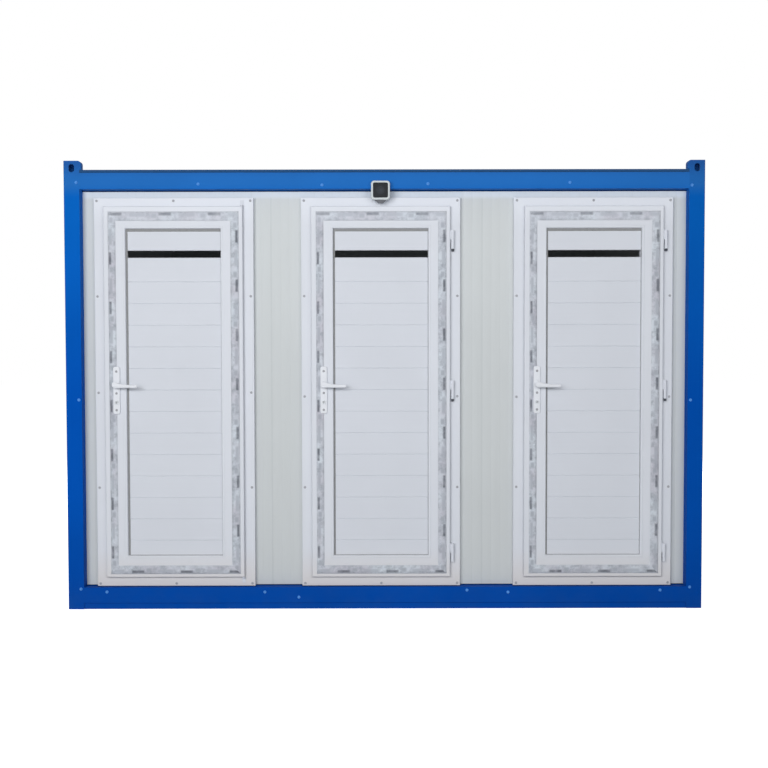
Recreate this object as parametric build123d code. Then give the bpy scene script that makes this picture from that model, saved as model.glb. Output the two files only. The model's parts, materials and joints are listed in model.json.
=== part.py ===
from build123d import *
import os

# Portable site cabin: folded steel frame, sandwich panel walls and three
# outward opening plastic doors along the front.
# Units are mm. +Z is up, +X is right seen from the front, the front faces -Y.
# The origin is the centre of the footprint at ground level.

# Cabin and steel frame
cabin_w = 3600.0
cabin_d = 2400.0
frame_h = 2482.0
section_w = 90.0
steel_t = 4.0
bend_r = 8.0
fold_r = 3.0
base_rail_h = 124.0
base_step_h = 36.0
base_step_in = 5.0
roof_rail_h = 109.0
roof_edge_h = 12.0
roof_edge_in = 4.0

# Lifting lugs on the post heads
lug_rise = 50.0
lug_drop = 40.0
lug_over = 10.0
lug_return = 35.0
lug_t = 8.0
lug_corner_r = 20.0
lug_slot_w = 32.0
lug_slot_h = 46.0
lug_slot_in = 46.0
lug_slot_below_top = 41.0

# Floor and roof
deck_t = 22.0
joist_w = 50.0
joist_count = 7
roof_sunk = 12.0
roof_sheet_t = 3.0

# Front wall: the strips beside the posts and the piers between the doors
wall_setback = 56.0
wall_t = 50.0
left_strip_w = 70.0
left_pier_w = 268.0
right_pier_w = 302.0
right_strip_w = 80.0
head_gap = 44.0

# Door frame with its screwed outer flange
flange_t = 28.0
flange_r = 3.0
flange_show_side = 58.0
flange_show_top = 51.0
flange_show_bottom = 57.0
lining_t = 35.0
stop_w = 20.0
stop_t = 15.0

# Door leaf
sash_lip_t = 20.0
sash_lip_over = 22.0
sash_lip_r = 6.0
sash_member_w = 124.0
sash_bead = 14.0
panel_recess = 18.0
panel_t = 24.0
panel_bite = 12.0
vent_below_top = 246.0
vent_h = 40.0

# Clearances of the leaf
lip_gap = 5.0
side_gap = 7.0
stop_gap = 7.0
bearing_gap = 0.4
pin_gap = 0.1
spindle_gap = 0.1
spindle_room = 3.0

# Barrel hinges of the middle and right doors
hinge_low_up = 137.0
hinge_top_down = 188.0
hinge_mid_share = 0.523
hinge_h = 104.0
hinge_r = 9.0
hinge_pin_r = 4.5
hinge_pin_cover = 8.0
hinge_foot_in = 4.0

# Top and bottom pivots of the left door
pivot_pin_r = 4.0
pivot_pin_l = 24.0
pivot_arm_t = 5.0
pivot_arm_r = 9.0
pivot_gap = 2.0
pivot_tab_h = 34.0
pivot_tab_t = 3.0

# Lever handles
spindle_up = 1093.0
spindle_from_edge = 70.0
spindle_r = 9.0
plate_w = 38.0
plate_above = 104.0
plate_below = 163.0
plate_t = 10.0
plate_r = 12.0
lock_below = 98.0
lock_r = 11.0
lock_rise = 6.0
lever_l = 128.0
lever_drop = 8.0
lever_hub_r = 15.0
lever_tip_r = 7.0
lever_t = 14.0
lever_reach = 31.0

# Lamp over the middle door
lamp_w = 106.0
lamp_depth = 42.0
lamp_corner_r = 18.0
lamp_drop = 14.0
lamp_rim = 11.0
lens_t = 3.0
lens_sunk = 1.0
lens_gap = 0.2
lamp_neck_w = 64.0
lamp_neck_tip_w = 22.0
lamp_neck_d = 26.0
lamp_neck_h = 16.0

# Places that follow from the sizes above
front_y = -cabin_d / 2
wall_top = frame_h - roof_rail_h
inner_x = cabin_w / 2 - section_w
inner_y = cabin_d / 2 - section_w
room_in = wall_setback + wall_t
room_x = cabin_w / 2 - room_in
room_y = cabin_d / 2 - room_in
lug_foot = frame_h - lug_drop
lug_top = lug_drop + lug_rise
lug_w = section_w + lug_over
strips_w = left_strip_w + left_pier_w + right_pier_w + right_strip_w
flange_w = (2 * inner_x - strips_w) / 3
flange_top = wall_top - head_gap
flange_y = wall_setback - flange_t
left_door_x = -inner_x + left_strip_w + flange_w / 2
middle_door_x = left_door_x + flange_w + left_pier_w
right_door_x = middle_door_x + flange_w + right_pier_w
door_xs = (left_door_x, middle_door_x, right_door_x)
sash_w = flange_w - 2 * flange_show_side
sash_bottom = base_rail_h + flange_show_bottom
sash_top = flange_top - flange_show_top
sash_y = flange_y - lip_gap - sash_lip_t
lip_back_y = sash_y + sash_lip_t
stop_y = section_w - stop_t
sash_in_y = stop_y - stop_gap
light_w = sash_w - 2 * sash_member_w
light_bottom = sash_bottom + sash_member_w
light_top = sash_top - sash_member_w
panel_y = sash_y + panel_recess
panel_in_y = panel_y + panel_t
vent_top = sash_top - vent_below_top
vent_bottom = vent_top - vent_h
reveal_w = sash_w - 2 * sash_lip_over + 2 * side_gap
reveal_bottom = sash_bottom + sash_lip_over - side_gap
reveal_top = sash_top - sash_lip_over + side_gap
rough_w = reveal_w + 2 * lining_t
rough_top = reveal_top + lining_t
axis_y = sash_y + sash_lip_t / 2
barrel_x = sash_w / 2 + hinge_r + lip_gap
pivot_x = sash_w / 2 - sash_lip_r
hinge_low = sash_bottom + hinge_low_up
hinge_high = sash_top - hinge_top_down
hinge_mid = hinge_low + (hinge_high - hinge_low) * hinge_mid_share
spindle_x = -sash_w / 2 + spindle_from_edge
spindle_z = sash_bottom + spindle_up
lamp_z = wall_top - lamp_drop


def plate(x0, x1, y0, y1, z0, z1):
    """A flat piece between two corners."""
    box = Box(x1 - x0, y1 - y0, z1 - z0)
    return Pos((x0 + x1) / 2, (y0 + y1) / 2, (z0 + z1) / 2) * box


def centred(w, y0, y1, z0, z1):
    """A flat piece centred on x = 0."""
    return plate(-w / 2, w / 2, y0, y1, z0, z1)


def rod_z(x, y, z0, z1, r):
    """An upright round bar."""
    return Pos(x, y, (z0 + z1) / 2) * Cylinder(r, abs(z1 - z0))


def rod_y(x, z, y0, y1, r):
    """A round bar that runs front to back."""
    return Pos(x, (y0 + y1) / 2, z) * Rot(90, 0, 0) * Cylinder(r, abs(y1 - y0))


def along_x(points, length):
    """A folded section given as (depth, height) points, run along X."""
    face = make_face(Polyline(*points, close=True))
    return Pos(-length / 2, 0, 0) * extrude(Plane.YZ * face, length)


def on_front(piece):
    return Pos(0, front_y, 0) * piece


def on_back(piece):
    return Pos(0, -front_y, 0) * Rot(0, 0, 180) * piece


def on_left(piece):
    return Pos(-cabin_w / 2, 0, 0) * Rot(0, 0, -90) * piece


def on_right(piece):
    return Pos(cabin_w / 2, 0, 0) * Rot(0, 0, 90) * piece


def at_door(x, piece):
    return Pos(x, front_y, 0) * piece


def base_rail(length):
    """Channel open to the inside, with its foot folded back a little."""
    t = steel_t
    s = base_step_in
    points = [
        (0, base_rail_h),
        (section_w, base_rail_h),
        (section_w, base_rail_h - t),
        (t, base_rail_h - t),
        (t, base_step_h),
        (s + t, base_step_h - t),
        (s + t, t),
        (section_w, t),
        (section_w, 0),
        (s, 0),
        (s, base_step_h - t),
        (0, base_step_h),
    ]
    rail = along_x(points, length)
    edge = rail.edges().filter_by(Axis.X).group_by(Axis.Z)[-1].sort_by(Axis.Y)[0]
    return fillet(edge, fold_r)


def roof_rail(length):
    """Channel open to the inside, with a narrow edge folded back at the top."""
    t = steel_t
    s = roof_edge_in
    z0 = wall_top
    fold = frame_h - roof_edge_h
    points = [
        (0, z0),
        (section_w, z0),
        (section_w, z0 + t),
        (t, z0 + t),
        (t, fold - t),
        (s + t, fold),
        (s + t, frame_h - t),
        (section_w, frame_h - t),
        (section_w, frame_h),
        (s, frame_h),
        (s, fold),
        (0, fold - t),
    ]
    rail = along_x(points, length)
    edge = rail.edges().filter_by(Axis.X).group_by(Axis.Z)[0].sort_by(Axis.Y)[0]
    return fillet(edge, fold_r)


def corner_square(width, inset, r):
    """Square section, its rounded corner towards x = 0, y = 0."""
    side = width - 2 * inset
    face = Pos(width / 2, width / 2) * Rectangle(side, side)
    nearest = face.vertices().sort_by(lambda v: v.X + v.Y)[0]
    return fillet(nearest, r)


def post():
    """Square folded post, its bend on the outer corner of the cabin."""
    outside = corner_square(section_w, 0, bend_r)
    inside = corner_square(section_w, steel_t, bend_r - steel_t)
    return extrude(outside - inside, lug_foot)


def lug_face(inset):
    """Outline of a lug above the rail, its inner corner rounded, drawn in by an inset."""
    w = lug_w - inset
    h = lug_rise - inset
    face = Pos(w / 2, lug_drop + h / 2) * Rectangle(w, h)
    top = face.vertices().group_by(Axis.Y)[-1].sort_by(Axis.X)[-1]
    return fillet(top, lug_corner_r - inset)


def lug_plate():
    """One upright of a lug, with its slot and its inner edge folded back."""
    face = lug_face(0) + Pos(section_w / 2, lug_drop / 2) * Rectangle(section_w, lug_drop)
    slot_at = Pos(lug_slot_in, lug_top - lug_slot_below_top)
    face -= slot_at * Rot(0, 0, 90) * SlotOverall(lug_slot_h, lug_slot_w)
    end = Pos(lug_w - lug_corner_r / 2, lug_top / 2) * Rectangle(lug_corner_r, lug_top)
    rim = (lug_face(0) - lug_face(lug_t)) & end
    return extrude(Plane.XZ * face, -lug_t) + extrude(Plane.XZ * rim, -lug_return)


def lug():
    """Angle lug with its foot plate, bent on the outer corner of the cabin."""
    front = lug_plate()
    side = mirror(front, Plane((0, 0, 0), x_dir=(0, 0, 1), z_dir=(1, -1, 0)))
    blank = extrude(corner_square(lug_w, 0, bend_r), lug_top)
    foot = extrude(corner_square(section_w, 0, bend_r), lug_t)
    return ((front + side) & blank) + foot


def at_corners(piece):
    """The piece at the four corners, its outer corner on the footprint."""
    here = Pos(-cabin_w / 2, front_y, 0) * piece
    across = mirror(here, Plane.YZ)
    behind = mirror(here, Plane.XZ)
    far = mirror(across, Plane.XZ)
    return here, across, behind, far


def joist():
    """Floor cross member, a channel on its edge."""
    t = steel_t
    w = joist_w / 2
    points = [
        (-w, 0),
        (w, 0),
        (w, t),
        (-w + t, t),
        (-w + t, base_rail_h - t),
        (w, base_rail_h - t),
        (w, base_rail_h),
        (-w, base_rail_h),
    ]
    face = make_face(Polyline(*points, close=True))
    return Pos(0, inner_y, 0) * extrude(Plane.XZ * face, 2 * inner_y)


def door_frame():
    """Flange over the wall, lining through it, and the stop round the inside."""
    flange = centred(flange_w, flange_y, wall_setback, base_rail_h, flange_top)
    flange = fillet(flange.faces().sort_by(Axis.Y)[0].edges(), flange_r)
    lining = centred(rough_w, wall_setback, room_in, base_rail_h, rough_top)
    reveal = centred(reveal_w, 0, stop_y, reveal_bottom, reveal_top)
    way_w = reveal_w - 2 * stop_w
    way = centred(way_w, 0, 2 * room_in, reveal_bottom + stop_w, reveal_top - stop_w)
    return flange + lining - reveal - way


def sash(pivoted):
    """Leaf frame: rounded outer lip, inner bead and a groove for the boards."""
    over = sash_lip_over
    lip = centred(sash_w, sash_y, lip_back_y, sash_bottom, sash_top)
    lip = fillet(lip.faces().sort_by(Axis.Y)[0].edges(), sash_lip_r)
    body_w = sash_w - 2 * over
    body = centred(body_w, lip_back_y, sash_in_y, sash_bottom + over, sash_top - over)
    leaf = lip + body - centred(light_w, -section_w, section_w, light_bottom, light_top)
    front = [e for e in leaf.edges() if abs(e.center().Y - sash_y) < 0.01]
    across = [e for e in front if abs(e.center().X) < light_w / 2 + sash_bead]
    inside = [e for e in across if light_bottom - sash_bead < e.center().Z < light_top + sash_bead]
    leaf = chamfer(inside, sash_bead)
    groove_w = light_w + 2 * panel_bite
    low = light_bottom - panel_bite
    leaf -= centred(groove_w, panel_y, panel_in_y, low, light_top + panel_bite)
    leaf -= rod_y(spindle_x, spindle_z, -section_w, section_w, spindle_r + spindle_room)
    if pivoted:
        r = pivot_pin_r + pin_gap
        deep = pivot_pin_l + bearing_gap
        leaf -= rod_z(pivot_x, axis_y, sash_bottom, sash_bottom + deep, r)
        leaf -= rod_z(pivot_x, axis_y, sash_top - deep, sash_top, r)
    return leaf


def boards():
    """Door filling above and below the ventilation slot."""
    w = light_w + 2 * panel_bite
    lower = centred(w, panel_y, panel_in_y, light_bottom - panel_bite, vent_bottom)
    upper = centred(w, panel_y, panel_in_y, vent_top, light_top + panel_bite)
    return Compound([lower, upper])


def handle_plate(y_face, y_out):
    """Long back plate on one face of the leaf."""
    outline = RectangleRounded(plate_w, plate_above + plate_below, plate_r)
    body = extrude(Plane.XZ * outline, plate_t / 2, both=True)
    middle_z = spindle_z + (plate_above - plate_below) / 2
    body = Pos(spindle_x, (y_face + y_out) / 2, middle_z) * body
    return body - rod_y(spindle_x, spindle_z, y_face, y_out, spindle_r + spindle_gap)


def lock():
    """Lock cylinder below the lever, through the outside plate."""
    return rod_y(spindle_x, spindle_z - lock_below, sash_y, sash_y - plate_t - lock_rise, lock_r)


def grip():
    """Tapered lever with round ends, its tip hanging a little, thickness centred on y = 0."""
    tip = Pos(lever_l - lever_tip_r, -lever_drop) * Circle(lever_tip_r)
    ends = Sketch() + Circle(lever_hub_r) + tip
    outline = make_hull(ends.edges())
    return extrude(Plane.XZ * outline, lever_t / 2, both=True)


def lever():
    """Outside and inside grips on one spindle."""
    out_y = sash_y - plate_t - lever_reach - lever_t / 2
    in_y = sash_in_y + plate_t + lever_reach + lever_t / 2
    bar = rod_y(spindle_x, spindle_z, out_y, in_y, spindle_r)
    outside = Pos(spindle_x, out_y, spindle_z) * grip()
    inside = Pos(spindle_x, in_y, spindle_z) * grip()
    return bar + outside + inside


def hinge_post(z):
    """Lower knuckle with its pin, footed on the flange."""
    low = z - hinge_h / 2
    top = z - bearing_gap / 2
    pin_top = z + hinge_h / 2 - hinge_pin_cover
    body = rod_z(barrel_x, axis_y, low, top, hinge_r)
    body += plate(barrel_x - hinge_foot_in, barrel_x + hinge_r, axis_y, flange_y, low, top)
    return body + rod_z(barrel_x, axis_y, low, pin_top, hinge_pin_r)


def hinge_wing(z):
    """Upper knuckle with the wing that joins it to the edge of the leaf."""
    low = z + bearing_gap / 2
    top = z + hinge_h / 2
    half_t = sash_lip_t / 2 - sash_lip_r
    body = rod_z(barrel_x, axis_y, low, top, hinge_r)
    body += plate(sash_w / 2, barrel_x, axis_y - half_t, axis_y + half_t, low, top)
    bore_top = top - hinge_pin_cover + bearing_gap
    return body - rod_z(barrel_x, axis_y, low, bore_top, hinge_pin_r + pin_gap)


def pivot(turn):
    """Pivot arm on the flange, its pin in the end of the leaf's lip."""
    end = sash_top if turn > 0 else sash_bottom
    near = end + turn * pivot_gap
    reach = flange_y - axis_y
    arm = Sketch() + Pos(pivot_x, axis_y) * Circle(pivot_arm_r)
    arm += Pos(pivot_x, axis_y + reach / 2) * Rectangle(2 * pivot_arm_r, reach)
    low = min(near, near + turn * pivot_arm_t)
    body = Pos(0, 0, low) * extrude(arm, pivot_arm_t)
    body += rod_z(pivot_x, axis_y, end - turn * pivot_pin_l, near, pivot_pin_r)
    z0, z1 = sorted((near, near + turn * pivot_tab_h))
    x0 = pivot_x - pivot_arm_r
    x1 = pivot_x + pivot_arm_r
    return body + plate(x0, x1, flange_y - pivot_tab_t, flange_y, z0, z1)


def lamp():
    """Square lamp body with a recess for its face."""
    outline = RectangleRounded(lamp_w, lamp_w, lamp_corner_r)
    body = extrude(Plane.XZ * outline, lamp_depth)
    face_w = lamp_w - 2 * lamp_rim
    face = RectangleRounded(face_w, face_w, lamp_corner_r / 2)
    body -= Pos(0, -lamp_depth, 0) * extrude(Plane.XZ * face, lens_t, both=True)
    return Pos(0, 0, lamp_z) * body


def lamp_lens():
    """Dark face of the lamp, set in the recess."""
    w = lamp_w - 2 * lamp_rim - 2 * lens_gap
    face = RectangleRounded(w, w, lamp_corner_r / 2 - lens_gap)
    return Pos(0, lens_t - lamp_depth, lamp_z) * extrude(Plane.XZ * face, lens_t - lens_sunk)


def lamp_neck():
    """Tapered stub below the lamp body."""
    w = lamp_neck_w / 2
    tip_w = lamp_neck_tip_w / 2
    h = lamp_neck_h
    outline = make_face(Polyline((-w, 0), (w, 0), (tip_w, -h), (-tip_w, -h), close=True))
    body = extrude(Plane.XZ * outline, lamp_neck_d / 2, both=True)
    return Pos(0, -lamp_depth / 2, lamp_z - lamp_w / 2) * body


nodes = {}

# Steel frame
nodes["base_front_rail"] = on_front(base_rail(2 * inner_x))
nodes["base_back_rail"] = on_back(base_rail(2 * inner_x))
side_rail = base_rail(2 * inner_y)
nodes["base_side_rails"] = Compound([on_left(side_rail), on_right(side_rail)])
posts = at_corners(post())
for name, piece in zip(("front_left", "front_right", "back_left", "back_right"), posts):
    nodes[name + "_post"] = piece
nodes["roof_front_rail"] = on_front(roof_rail(2 * inner_x))
nodes["roof_back_rail"] = on_back(roof_rail(2 * inner_x))
side_rail = roof_rail(2 * inner_y)
nodes["roof_side_rails"] = Compound([on_left(side_rail), on_right(side_rail)])
nodes["lifting_lugs"] = Compound(list(at_corners(Pos(0, 0, lug_foot) * lug())))

# Floor and roof
first_x = joist_w / 2 - inner_x
pitch = -2 * first_x / (joist_count - 1)
joist_piece = joist()
joists = [Pos(first_x + i * pitch, 0, 0) * joist_piece for i in range(joist_count)]
nodes["floor_joists"] = Compound(joists)
deck_top = base_rail_h + deck_t
roof_top = frame_h - roof_sunk
roof_under = roof_top - roof_sheet_t
nodes["floor_deck"] = plate(-room_x, room_x, -room_y, room_y, base_rail_h, deck_top)
nodes["roof_panel"] = plate(-inner_x, inner_x, -inner_y, inner_y, wall_top, roof_under)
nodes["roof_sheet"] = plate(-inner_x, inner_x, -inner_y, inner_y, roof_under, roof_top)

# Walls
cuts = [-inner_x]
for x in door_xs:
    cuts += [x - rough_w / 2, x + rough_w / 2]
cuts.append(inner_x)
strips = []
for x0, x1 in zip(cuts[0::2], cuts[1::2]):
    strips.append(on_front(plate(x0, x1, wall_setback, room_in, base_rail_h, wall_top)))
nodes["front_wall_ends"] = Compound([strips[0], strips[-1]])
nodes["front_wall_piers"] = Compound(strips[1:-1])
head = centred(rough_w, wall_setback, room_in, rough_top, wall_top)
nodes["front_wall_heads"] = Compound([at_door(x, head) for x in door_xs])
back_wall = on_back(centred(2 * inner_x, wall_setback, room_in, base_rail_h, wall_top))
nodes["back_wall"] = back_wall
# The end walls run between the posts and are cut back where they meet the long walls
end_wall = centred(2 * inner_y, wall_setback, room_in, base_rail_h, wall_top)
nodes["left_wall"] = on_left(end_wall) - strips[0] - back_wall
nodes["right_wall"] = on_right(end_wall) - strips[-1] - back_wall

# Doors
frame_piece = door_frame()
boards_piece = boards()
outside_plate = handle_plate(sash_y, sash_y - plate_t) + lock()
inside_plate = handle_plate(sash_in_y, sash_in_y + plate_t)
plates_piece = Compound([outside_plate, inside_plate])
lever_piece = lever()
hinge_levels = (hinge_low, hinge_mid, hinge_high)
posts_piece = Compound([hinge_post(z) for z in hinge_levels])
wings_piece = Compound([hinge_wing(z) for z in hinge_levels])
pivots_piece = Compound([pivot(-1), pivot(1)])
for name, x in zip(("left", "middle", "right"), door_xs):
    pivoted = name == "left"
    nodes[name + "_door_frame"] = at_door(x, frame_piece)
    nodes[name + "_door_sash"] = at_door(x, sash(pivoted))
    nodes[name + "_door_boards"] = at_door(x, boards_piece)
    nodes[name + "_handle_plates"] = at_door(x, plates_piece)
    nodes[name + "_lever"] = at_door(x, lever_piece)
    if pivoted:
        nodes[name + "_door_pivots"] = at_door(x, pivots_piece)
    else:
        nodes[name + "_hinge_posts"] = at_door(x, posts_piece)
        nodes[name + "_hinge_wings"] = at_door(x, wings_piece)

# Lamp
nodes["lamp_housing"] = at_door(middle_door_x, lamp())
nodes["lamp_lens"] = at_door(middle_door_x, lamp_lens())
nodes["lamp_neck"] = at_door(middle_door_x, lamp_neck())

os.makedirs("parts", exist_ok=True)
for name, piece in nodes.items():
    export_step(piece, f"parts/{name}.step")
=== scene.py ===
"""Looks of a portable site cabin, laid out as an add-on and run as a script."""
import json
import math

import bmesh
import bpy
from bpy.props import FloatProperty, FloatVectorProperty, IntProperty, PointerProperty
from mathutils import Matrix, Vector, noise


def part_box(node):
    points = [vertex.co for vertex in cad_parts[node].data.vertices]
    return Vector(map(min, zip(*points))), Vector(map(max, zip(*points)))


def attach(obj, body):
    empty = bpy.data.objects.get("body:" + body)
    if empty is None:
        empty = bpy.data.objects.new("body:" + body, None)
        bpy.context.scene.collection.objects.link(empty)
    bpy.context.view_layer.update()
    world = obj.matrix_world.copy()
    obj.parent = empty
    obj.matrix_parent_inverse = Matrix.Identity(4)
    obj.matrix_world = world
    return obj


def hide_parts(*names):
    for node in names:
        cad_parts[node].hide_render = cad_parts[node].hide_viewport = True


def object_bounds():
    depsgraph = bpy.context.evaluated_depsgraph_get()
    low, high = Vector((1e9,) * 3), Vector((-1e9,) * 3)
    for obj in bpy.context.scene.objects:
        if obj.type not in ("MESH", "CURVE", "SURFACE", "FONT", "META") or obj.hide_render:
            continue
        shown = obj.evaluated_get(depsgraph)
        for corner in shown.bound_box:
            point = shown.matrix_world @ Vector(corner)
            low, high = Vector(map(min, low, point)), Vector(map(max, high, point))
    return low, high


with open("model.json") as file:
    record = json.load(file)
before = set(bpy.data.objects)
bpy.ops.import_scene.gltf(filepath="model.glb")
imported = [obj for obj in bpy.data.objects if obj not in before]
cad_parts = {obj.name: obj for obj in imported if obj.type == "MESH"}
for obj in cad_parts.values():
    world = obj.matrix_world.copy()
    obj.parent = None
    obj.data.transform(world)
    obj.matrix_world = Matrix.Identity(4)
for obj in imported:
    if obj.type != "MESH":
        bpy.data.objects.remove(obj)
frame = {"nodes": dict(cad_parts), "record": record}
CAD_LOW, CAD_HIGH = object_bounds()
CAD_SIDE_Y = -CAD_HIGH.y

bl_info = {
    "name": "Portable Site Cabin",
    "version": (1, 0, 0),
    "blender": (4, 5, 0),
    "location": "View3D > Sidebar > Cabin",
    "description": "Gives the packed cabin its finishes, wall bands, boards, screws and handles",
    "category": "Object",
}

DOORS = ("left", "middle", "right")
BLACK = (0.0, 0.0, 0.0)
TURN_NONE = (0.0, 0.0, 0.0)
TURN_FRONT = (math.pi / 2, 0.0, 0.0)
TURN_INSIDE = (-math.pi / 2, 0.0, 0.0)
TURN_DOWN = (math.pi, 0.0, 0.0)

# Screws that hold the panels to the steel frame: x and z on the front faces, in metres
FRAME_SCREWS = (
    (-1.728, 2.411), (1.725, 2.391), (-1.726, 1.191), (1.726, 1.185), (-1.727, 0.116), (1.730, 0.121),
    (-1.045, 2.401), (-0.350, 2.395), (0.244, 2.401), (1.040, 2.407),
    (-1.580, 0.099), (-0.683, 0.097), (-0.490, 0.068), (0.465, 0.106), (0.698, 0.094), (1.562, 0.104),
)
# Heights of the screws in the uprights of the door frames
LOW_SCREW_Z, HIGH_SCREW_Z = 0.690, 1.775
MIDDLE_SCREW_Z = {"left": 1.230, "middle": 1.207, "right": 1.203}
# Heights between which each blue of the frame gives way to the next one: painted light and shade, darker at
# the foot and lighter towards the roof
PAINTED_LIGHT_STEPS = ((0.12, 0.55), (1.25, 2.25), (2.33, 2.40), (2.44, 2.51))


def colour(name, about, default):
    """A colour property, its default in linear values."""
    return FloatVectorProperty(
        name=name, description=about, default=default, size=3, min=0.0, max=1.0, subtype="COLOR"
    )


def length(name, about, default, low=0.0):
    """A length property in metres."""
    return FloatProperty(name=name, description=about, default=default, min=low, unit="LENGTH", precision=4)


def sides(name, about, default):
    """Lengths at the top, right, bottom and left of a door leaf."""
    return FloatVectorProperty(name=name, description=about, default=default, size=4, unit="LENGTH")


def angle(name, about, default):
    """An angle property in radians."""
    return FloatProperty(name=name, description=about, default=default, subtype="ANGLE")


def power(name, about, default):
    """A light's power in watts."""
    return FloatProperty(name=name, description=about, default=default, min=0.0, unit="POWER")


class CabinPaints(bpy.types.PropertyGroup):
    """Colours of the cabin's finishes."""

    # The frame blues step by height as painted light: darkest at the foot and lightest on the roof rails,
    # where painted reflection of the sky lightens them
    frame_foot_shaded: colour("Frame blue, foot", "Paint of the steel frame near the ground", (0.0012, 0.066, 0.375))
    frame_middle_lit: colour("Frame blue, middle", "Paint of the steel frame at half height", (0.0008, 0.079, 0.430))
    frame_top_lit: colour("Frame blue, top", "Paint of the steel frame near the roof", (0.0025, 0.118, 0.500))
    roof_lit_blue: colour("Roof blue", "Bleached paint of the roof rails", (0.019, 0.146, 0.480))
    lug_lit_blue: colour("Lug blue", "Bleached paint of the lifting lugs", (0.020, 0.110, 0.385))
    frame_rub: colour("Frame rubs", "Rubbed marks on the frame's paint", (0.03, 0.20, 0.56))
    frame_dust: colour("Frame dust", "Dust on the frame near the ground", (0.035, 0.090, 0.22))
    # A dark slate strip along the top of the roof rails, painted on the rails' top and laid in their folded
    # step
    edge_slate: colour("Edge slate", "Sealing strip along the roof's edge", (0.020, 0.072, 0.185))
    # Painted shade: dark strips stand in for the shade under the roof rails, along the walls' foot and under
    # the door frames
    shade_strip_blue: colour("Seal blue", "Dark strips where the walls meet the frame", (0.002, 0.020, 0.085))
    joint_grey: colour("Joint grey", "Sealed joints between wall panels", (0.560, 0.590, 0.600))
    # The dark ring round the boards is a thin gasket, widened at the top and left as painted shadow of the
    # bead
    gasket_and_shadow_grey: colour("Gasket grey", "Gaskets round the door boards", (0.255, 0.260, 0.265))
    # The frame screw heads are a lighter blue than the frame: painted highlight
    screw_blue_highlit: colour("Screw blue", "Painted screw heads on the frame", (0.06, 0.25, 0.66))
    wall_white: colour("Wall white", "Coated skin of the wall panels", (0.595, 0.624, 0.634))
    # Painted light: the wall under the roof rails is tinted lighter and bluer, standing in for light under
    # the rails' overhang
    wall_head_light: colour("Clean wall", "Sheltered strip under the roof rails", (0.650, 0.700, 0.752))
    plastic_white: colour("Plastic white", "Door frames and leaves", (0.655, 0.680, 0.735))
    plastic_dust: colour("Plastic dust", "Dust on the plastic near the ground", (0.630, 0.575, 0.541))
    board_white: colour("Board white", "Boards of the door filling", (0.620, 0.645, 0.700))
    film_pale: colour("Film pale", "Clear part of the protective film", (0.590, 0.635, 0.690))
    film_grey: colour("Film grey", "Clouded part of the protective film", (0.290, 0.312, 0.360))
    film_dark: colour("Film dash", "Dark dashes on the protective film", (0.105, 0.115, 0.138))
    film_mauve: colour("Film mauve", "Warm patches of the protective film", (0.500, 0.490, 0.550))
    # Painted light: the film along the top of a leaf is lighter
    film_top_light: colour("Film clean", "Sheltered film along the top of a leaf", (0.70, 0.74, 0.82))
    metal_white: colour("Metal white", "Powder coat of the handles", (0.720, 0.740, 0.785))
    hinge_white: colour("Hinge white", "Powder coat of the hinges", (0.640, 0.665, 0.725))
    zinc: colour("Zinc", "Galvanised steel of the roof and the floor joists", (0.42, 0.44, 0.46))
    screw_grey: colour("Screw grey", "Small screws of the door frames", (0.36, 0.37, 0.40))
    plate_screw: colour("Plate screws", "Screws of the handle plates", (0.33, 0.335, 0.355))
    floor_brown: colour("Floor brown", "Board of the floor", (0.20, 0.15, 0.105))
    floor_worn: colour("Floor worn", "Worn coat of the floor", (0.30, 0.27, 0.23))
    lamp_grey: colour("Lamp grey", "Shell of the lamp", (0.60, 0.64, 0.66))
    lamp_dark: colour("Lamp face", "Dark face of the lamp", (0.0110, 0.0130, 0.0165))
    neck_grey: colour("Neck grey", "Stub under the lamp", (0.120, 0.125, 0.140))
    rubber: colour("Rubber", "Dark caps", (0.075, 0.080, 0.095))


class CabinSizes(bpy.types.PropertyGroup):
    """Sizes of the details that dress the cabin."""

    band_pitch: length("Band pitch", "Spacing of the shallow bands of a wall skin", 0.050)
    band_gap: length("Band gap", "Groove between two bands", 0.004)
    band_rise: length("Band rise", "How far a band stands out of the wall", 0.0004)
    panel_gap: length("Panel gap", "Open joint between two wall panels", 0.009)
    panel_w: length("Panel width", "Width of a wall panel", 1.197)
    first_joint: length("First joint", "Joint in the left pier, from the middle", -0.644, -2.0)
    board_pitch: length("Board pitch", "Height of one board of the door filling", 0.1222)
    board_groove: length("Board groove", "Depth of the groove between two boards", 0.0022)
    board_top: length("Top board", "Height of the board under the vent slot", 0.136)
    film_in: sides("Film insets", "From the edges of a leaf to the film", (0.029, 0.021, 0.019, 0.027))
    film_w: sides("Film widths", "Widths of the film", (0.054, 0.049, 0.050, 0.044))
    film_t: length("Film thickness", "Thickness of the protective film", 0.0003)
    dash_pitch: length("Dash pitch", "Spacing of the dashes on the film", 0.277)
    # The gasket is wider at the top and left as painted shadow of the bead
    gasket_and_shadow_w: sides("Gasket widths", "Widths of the gasket round the boards", (0.016, 0.0018, 0.0018, 0.010))
    screw_in: length("Screw inset", "From the edge of a door frame to its screws", 0.017)
    plate_ease: length("Plate edge", "Rounding of the handle plates", 0.003)
    lamp_ease: length("Lamp edge", "Rounding of the lamp's shell", 0.006)
    lamp_corner: length("Lamp corner", "Corner radius of the lamp's shell", 0.018)
    seed: IntProperty(name="Seed", description="Seed of the screws' turns", default=7, min=0)


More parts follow.
